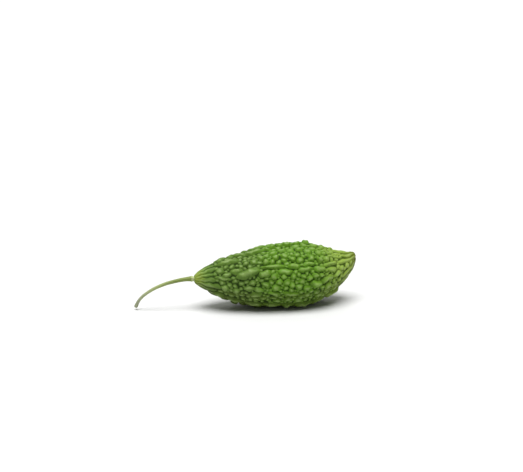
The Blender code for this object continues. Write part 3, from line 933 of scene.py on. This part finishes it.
def rind_material(settings):
    """Fresh gourd rind, waxy as it grew: half-gloss crowns with a pale bloom and painted highlight over
    dull, deep hollows in painted shade.
    """
    material = bpy.data.materials.new("Waxy gourd rind")
    material.use_nodes = True
    tree = material.node_tree
    shader = tree.nodes["Principled BSDF"]
    place = add_node(tree, "ShaderNodeTexCoord").outputs["Object"]
    way = add_node(tree, "ShaderNodeAttribute", attribute_name="way").outputs["Fac"]
    dome = add_node(tree, "ShaderNodeAttribute", attribute_name="dome").outputs["Fac"]
    flecks = add_node(
        tree, "ShaderNodeTexNoise", {"Vector": place, "Scale": 1.0 / (FLECK_SIZE * MM), "Detail": 4.0}
    ).outputs[0]
    uneven = add_node(
        tree, "ShaderNodeMath", {0: flecks, 1: FLECK_SHIFT, 2: -FLECK_SHIFT / 2.0}, operation="MULTIPLY_ADD"
    ).outputs[0]
    level = add_node(tree, "ShaderNodeMath", {0: dome, 1: uneven}, operation="ADD").outputs[0]
    tree.links.new(rind_colour(tree, settings, way, level), shader.inputs["Base Color"])

    # Wax evens the gloss on the crowns, and the hollows stay duller
    gloss = add_node(
        tree, "ShaderNodeMapRange", {"Value": level, "To Min": ROUGH_HOLLOW, "To Max": ROUGH_CROWN}
    ).outputs[0]
    tree.links.new(gloss, shader.inputs["Roughness"])
    shader.inputs["IOR"].default_value = 1.42
    shader.inputs["Specular IOR Level"].default_value = 0.18

    # The bloom catches light at a slant, and light goes a little way into the flesh
    shader.inputs["Sheen Weight"].default_value = 0.22
    shader.inputs["Sheen Roughness"].default_value = 0.45
    shader.inputs["Sheen Tint"].default_value = (*settings.crown_bloom_and_highlight_colour, 1.0)
    shader.inputs["Subsurface Weight"].default_value = 0.08
    shader.inputs["Subsurface Radius"].default_value = (0.6, 1.0, 0.25)
    shader.inputs["Subsurface Scale"].default_value = RIND_GLOW * MM

    # Pores and fine wrinkles
    pores = add_node(
        tree, "ShaderNodeTexNoise", {"Vector": place, "Scale": 1.0 / (PORE_SIZE * MM), "Detail": 3.0}
    ).outputs[0]
    bump = add_node(
        tree, "ShaderNodeBump", {"Height": pores, "Strength": 0.5, "Distance": PORE_DEPTH * MM}
    ).outputs[0]
    tree.links.new(bump, shader.inputs["Normal"])
    return material


def stalk_material(settings):
    """Young green stalk, matte: streaked along its ribs, greyer to the cut, and pale at the fruit."""
    material = bpy.data.materials.new("Green stalk")
    material.use_nodes = True
    tree = material.node_tree
    shader = tree.nodes["Principled BSDF"]
    place = add_node(tree, "ShaderNodeTexCoord").outputs["Object"]
    along = add_node(tree, "ShaderNodeAttribute", attribute_name="along").outputs["Fac"]
    turn = add_node(tree, "ShaderNodeAttribute", attribute_name="round").outputs["Fac"]
    body = add_node(tree, "ShaderNodeValToRGB", {"Fac": along}, colour_run(settings, STALK_RUN))

    # Streaks half a millimetre wide run with the ribs
    wide = add_node(tree, "ShaderNodeMath", {0: turn, 1: STREAKS_ROUND}, operation="MULTIPLY").outputs[0]
    long = add_node(tree, "ShaderNodeMath", {0: along, 1: STREAKS_ALONG}, operation="MULTIPLY").outputs[0]
    flat = add_node(tree, "ShaderNodeCombineXYZ", {0: wide, 1: long}).outputs[0]
    streaks = add_node(tree, "ShaderNodeTexNoise", {"Vector": flat, "Scale": 1.0, "Detail": 3.0}).outputs[0]
    dark = add_node(tree, "ShaderNodeMapRange", {
        "Value": streaks,
        "From Min": STREAK_LEVELS[0],
        "From Max": STREAK_LEVELS[1],
        "To Min": STREAK_SHARE,
        "To Max": 0.0,
    }).outputs[0]
    streaked = add_node(
        tree,
        "ShaderNodeMix",
        {0: dark, 6: body.outputs["Color"], 7: (*settings.streak_colour, 1.0)},
        data_type="RGBA",
    ).outputs[2]
    tree.links.new(streaked, shader.inputs["Base Color"])
    shader.inputs["Roughness"].default_value = 0.55
    shader.inputs["IOR"].default_value = 1.45
    shader.inputs["Subsurface Weight"].default_value = 0.1
    shader.inputs["Subsurface Radius"].default_value = (0.6, 0.9, 0.3)
    shader.inputs["Subsurface Scale"].default_value = STALK_GLOW * MM

    # Short hairs dull it
    hairs = add_node(
        tree, "ShaderNodeTexNoise", {"Vector": place, "Scale": 1.0 / (HAIR_SIZE * MM), "Detail": 2.0}
    ).outputs[0]
    bump = add_node(
        tree, "ShaderNodeBump", {"Height": hairs, "Strength": 0.4, "Distance": HAIR_DEPTH * MM}
    ).outputs[0]
    tree.links.new(bump, shader.inputs["Normal"])
    return material


def paper_material(settings):
    """Matte white paper: even and without gloss, so that only the soft shadow shows on it."""
    material = bpy.data.materials.new("White paper")
    material.use_nodes = True
    shader = material.node_tree.nodes["Principled BSDF"]
    shader.inputs["Base Color"].default_value = (*settings.floor_colour, 1.0)
    shader.inputs["Roughness"].default_value = 0.9
    shader.inputs["Specular IOR Level"].default_value = 0.2
    return material


class GOURD_OT_fruit(bpy.types.Operator):
    """Grow the fruit: one warty rind over the bare skin"""

    bl_idname = "gourd.fruit"
    bl_label = "Fruit"

    def execute(self, context):
        settings = context.scene.gourd_fruit
        skin = Skin(settings)
        tubercles = Tubercles(skin, settings.seed)
        piece = grow("fruit_rind", rind_grid(skin, tubercles), relief_tree(), {
            "Roundness": settings.roundness,
            "Fullness": settings.fullness,
            "Grain": settings.grain,
            "Material": rind_material(settings),
        })
        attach(piece, "root")
        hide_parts("fruit")
        return {"FINISHED"}


class GOURD_OT_stalk(bpy.types.Operator):
    """Grow the stalk from its socket in the fruit to its cut end"""

    bl_idname = "gourd.stalk"
    bl_label = "Stalk"

    def execute(self, context):
        settings = context.scene.gourd_stalk
        skin = Skin(context.scene.gourd_fruit)
        end = skin.stem_end
        base = np.array([end, skin.axis_side(end), skin.axis_height(end)])
        mesh = bpy.data.meshes.new("route")
        knots = in_frame(np.array(STALK_ROUTE) + base)
        mesh.from_pydata(knots.tolist(), [(k, k + 1) for k in range(len(knots) - 1)], [])
        piece = grow("stem_stalk", mesh, stalk_tree(), {
            "Ribs": float(settings.ribs),
            "Rib depth": settings.rib_depth,
            "Grain": settings.grain,
            "Material": stalk_material(settings),
        })
        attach(piece, "root")
        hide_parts("stem")
        return {"FINISHED"}


class GOURD_OT_stage(bpy.types.Operator):
    """Lay the pale floor, set the soft lights and place the camera"""

    bl_idname = "gourd.stage"
    bl_label = "Studio"

    def execute(self, context):
        settings = context.scene.gourd_stage
        scene = context.scene
        self.lay_floor(scene, settings)
        self.light_sky(scene, settings)
        self.set_light(scene, settings, "softbox", settings.sun, settings.sun_side, settings.sun_height)
        self.set_light(scene, settings, "backlight", settings.back, math.pi, settings.back_height)
        self.place_camera(scene, settings)
        scene.view_settings.view_transform = "Standard"
        return {"FINISHED"}

    def lay_floor(self, scene, settings):
        half = settings.floor_width / 2.0
        corners = [(-half, -half, 0.0), (half, -half, 0.0), (half, half, 0.0), (-half, half, 0.0)]
        mesh = bpy.data.meshes.new("floor")
        mesh.from_pydata(corners, [], [(0, 1, 2, 3)])
        mesh.materials.append(paper_material(settings))
        floor = bpy.data.objects.new("floor", mesh)
        scene.collection.objects.link(floor)

    def light_sky(self, scene, settings):
        """A white studio: seen as plain white past the floor's edge, it sheds only a faint light itself."""
        world = bpy.data.worlds.new("White studio")
        world.use_nodes = True
        scene.world = world
        tree = world.node_tree
        white = tree.nodes["Background"].inputs
        white["Color"].default_value = (1.0, 1.0, 1.0, 1.0)
        seen = add_node(tree, "ShaderNodeLightPath").outputs["Is Camera Ray"]
        strength = add_node(tree, "ShaderNodeMath", {0: seen, 1: settings.sky}, operation="MAXIMUM")
        tree.links.new(strength.outputs[0], white["Strength"])

    def set_light(self, scene, settings, name, strength, side, height):
        """A wide soft light from far off, so that it is even over the whole floor."""
        light = bpy.data.lights.new(name, "SUN")
        light.energy = strength
        light.angle = settings.sun_width
        box = bpy.data.objects.new(name, light)
        flat = math.cos(height)
        way = Vector((flat * math.sin(side), -flat * math.cos(side), math.sin(height)))
        box.rotation_euler = way.to_track_quat("Z", "Y").to_euler()
        scene.collection.objects.link(box)

    def place_camera(self, scene, settings):
        """The photograph's scale sets how far back the camera stands, and its middle pixel the aim."""
        distance = MM_PER_PIXEL * PHOTO_SIZE[0] / SENSOR * settings.lens
        cos_a, sin_a = math.cos(settings.azimuth), math.sin(settings.azimuth)
        cos_e, sin_e = math.cos(settings.elevation), math.sin(settings.elevation)
        back = Vector((sin_a * cos_e, -cos_a * cos_e, sin_e))
        right = Vector((cos_a, sin_a, 0.0))
        up = back.cross(right)
        across = (PHOTO_SIZE[0] / 2.0 - MIDDLE_PIXEL[0]) * MM_PER_PIXEL
        above = (MIDDLE_PIXEL[1] - PHOTO_SIZE[1] / 2.0) * MM_PER_PIXEL
        aim = right * across + up * above
        camera = bpy.data.objects.new("camera", bpy.data.cameras.new("camera"))
        camera.data.lens = settings.lens
        camera.data.sensor_width = SENSOR
        camera.location = in_frame(aim + back * distance)
        camera.rotation_euler = back.to_track_quat("Z", "Y").to_euler()
        camera.data.clip_start = CLIP_START * MM
        scene.collection.objects.link(camera)
        scene.camera = camera


class GOURD_PT_parts(bpy.types.Panel):
    """The gourd's pieces and their settings"""

    bl_idname = "GOURD_PT_parts"
    bl_label = "Bitter gourd"
    bl_space_type = "VIEW_3D"
    bl_region_type = "UI"
    bl_category = "Gourd"

    def draw(self, context):
        scene = context.scene
        groups = {
            "gourd.fruit": scene.gourd_fruit,
            "gourd.stalk": scene.gourd_stalk,
            "gourd.stage": scene.gourd_stage,
        }
        for operator, settings in groups.items():
            box = self.layout.box()
            box.operator(operator)
            for name in settings.__annotations__:
                box.prop(settings, name)


CLASSES = (
    GourdFruitSettings,
    GourdStalkSettings,
    GourdStageSettings,
    GOURD_OT_fruit,
    GOURD_OT_stalk,
    GOURD_OT_stage,
    GOURD_PT_parts,
)


def register():
    for item in CLASSES:
        bpy.utils.register_class(item)
    bpy.types.Scene.gourd_fruit = PointerProperty(type=GourdFruitSettings)
    bpy.types.Scene.gourd_stalk = PointerProperty(type=GourdStalkSettings)
    bpy.types.Scene.gourd_stage = PointerProperty(type=GourdStageSettings)


def unregister():
    del bpy.types.Scene.gourd_stage
    del bpy.types.Scene.gourd_stalk
    del bpy.types.Scene.gourd_fruit
    for item in reversed(CLASSES):
        bpy.utils.unregister_class(item)


def main():
    register()
    bpy.ops.gourd.fruit()
    bpy.ops.gourd.stalk()
    bpy.ops.gourd.stage()


if __name__ == "__main__":
    main()
